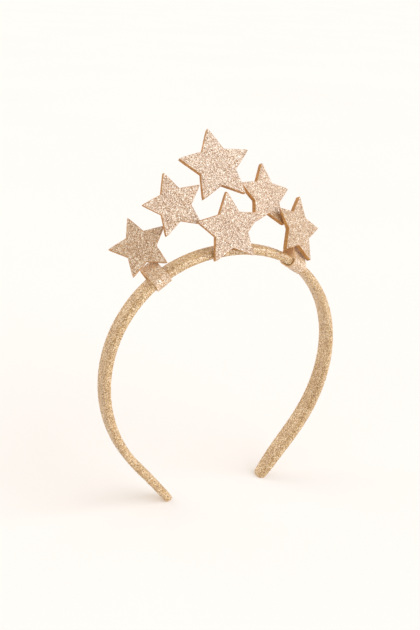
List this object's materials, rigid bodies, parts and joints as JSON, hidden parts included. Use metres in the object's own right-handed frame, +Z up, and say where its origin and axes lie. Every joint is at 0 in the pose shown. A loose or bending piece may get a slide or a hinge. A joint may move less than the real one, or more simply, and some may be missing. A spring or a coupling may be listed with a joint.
{
  "type": "star party crown",
  "caption": "Glitter-covered party headband that stands on its two ends and carries a cluster of thick felt stars above its front, held by glue and by looped tabs.",
  "frame": {"origin": "on the floor, under the middle of the whole crown's box", "axes": "+Z up from the band's two ends to the stars; +X from one end of the band to the other, to the wearer's left; +Y from the front of the stars to their back"},
  "size_m": [0.1358, 0.032, 0.1946],
  "materials": {
    "glitter_felt": "thick felt with a face of fine champagne glitter and plain caramel cut edges",
    "glitter_cloth": "cloth covered in fine gold glitter"
  },
  "bodies": {
    "root": {"band": "glitter_cloth", "star_left": "glitter_felt", "star_mid_left": "glitter_felt", "star_top": "glitter_felt", "star_centre": "glitter_felt", "star_mid_right": "glitter_felt", "star_right": "glitter_felt", "tab_left": "glitter_cloth", "tab_right": "glitter_cloth"}
  },
  "joints": []
}
